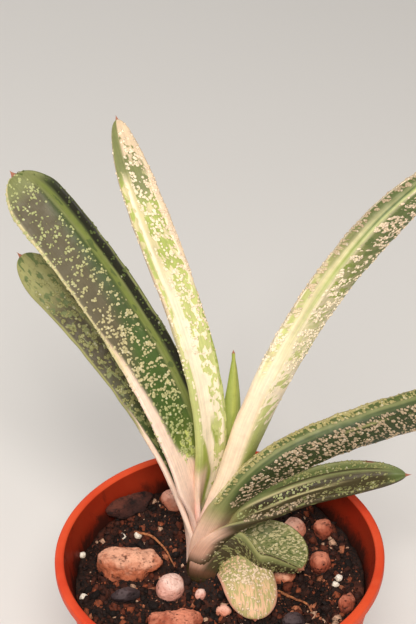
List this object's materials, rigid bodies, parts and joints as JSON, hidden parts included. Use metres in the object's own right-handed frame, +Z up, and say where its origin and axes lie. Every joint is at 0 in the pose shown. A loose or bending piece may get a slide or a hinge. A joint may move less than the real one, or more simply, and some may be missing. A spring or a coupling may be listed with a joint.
{
  "type": "potted gasteria succulent",
  "caption": "Variegated gasteria with two ranks of long warty strap leaves on a short stem, planted in stony soil in a small round orange-red plastic nursery pot.",
  "frame": {"origin": "centre of the pot's flat underside, where it stands", "axes": "+Z up; the plant leans back along +Y, and its two ranks of leaves spread towards -X and +X"},
  "size_m": [0.1148, 0.0811, 0.1684],
  "materials": {
    "pot_plastic": "thin orange-red moulded plastic with a soft sheen, brighter on the rolled rim, soil smears inside",
    "potting_soil": "dark crumbly potting mix with bark fines, mineral specks and perlite grit",
    "stem_skin": "pinkish to brown dry skin of a short succulent stem",
    "leaf_dark": "dark green leaf with cream and yellow-green raised tubercles in cross rows, smooth lighter stripe, semi-gloss",
    "leaf_green": "mid green leaf with paler tubercles and smooth keel, semi-gloss",
    "leaf_pale": "cream and yellow-green variegated leaf with white tubercles towards the margins, semi-gloss",
    "stone_tan": "rough tan to orange-brown pumice stone",
    "stone_red_brown": "rough red-brown lava stone",
    "stone_white": "matt off-white to pink pumice",
    "stone_dark": "charcoal grey stone",
    "stone_pink": "matt pink to salmon pumice",
    "bark": "dark purplish-brown bark slab with a lighter worn edge",
    "perlite": "off-white porous perlite grain",
    "root_thread": "dry brown fibrous root"
  },
  "bodies": {
    "root": {"pot": "pot_plastic", "soil": "potting_soil", "stem_and_roots": "stem_skin", "leaf_low_curled": "leaf_green", "leaf_low_tongue": "leaf_pale", "leaf_right_lower": "leaf_green", "leaf_right_upper": "leaf_dark", "leaf_left_back": "leaf_dark", "leaf_right_pale": "leaf_pale", "leaf_left_front": "leaf_dark", "leaf_centre_pale": "leaf_pale", "leaf_centre_new": "leaf_green", "stone_tan_large": "stone_tan", "stone_red_brown": "stone_red_brown", "stone_white_round": "stone_white", "stone_white_small": "stone_white", "stone_charcoal": "stone_dark", "stone_dark_square": "stone_dark", "stone_pink_behind": "stone_pink", "stone_pink_left": "stone_pink", "stone_pale_pink": "stone_pink", "stone_tan_right": "stone_tan", "stone_brown_front": "stone_red_brown", "stone_brown_back": "stone_red_brown", "stone_brown_wall": "stone_red_brown", "bark_slab": "bark", "perlite_1": "perlite", "perlite_2": "perlite", "perlite_3": "perlite", "perlite_4": "perlite", "perlite_5": "perlite", "perlite_6": "perlite", "thread_left": "root_thread", "thread_right": "root_thread"}
  },
  "joints": []
}
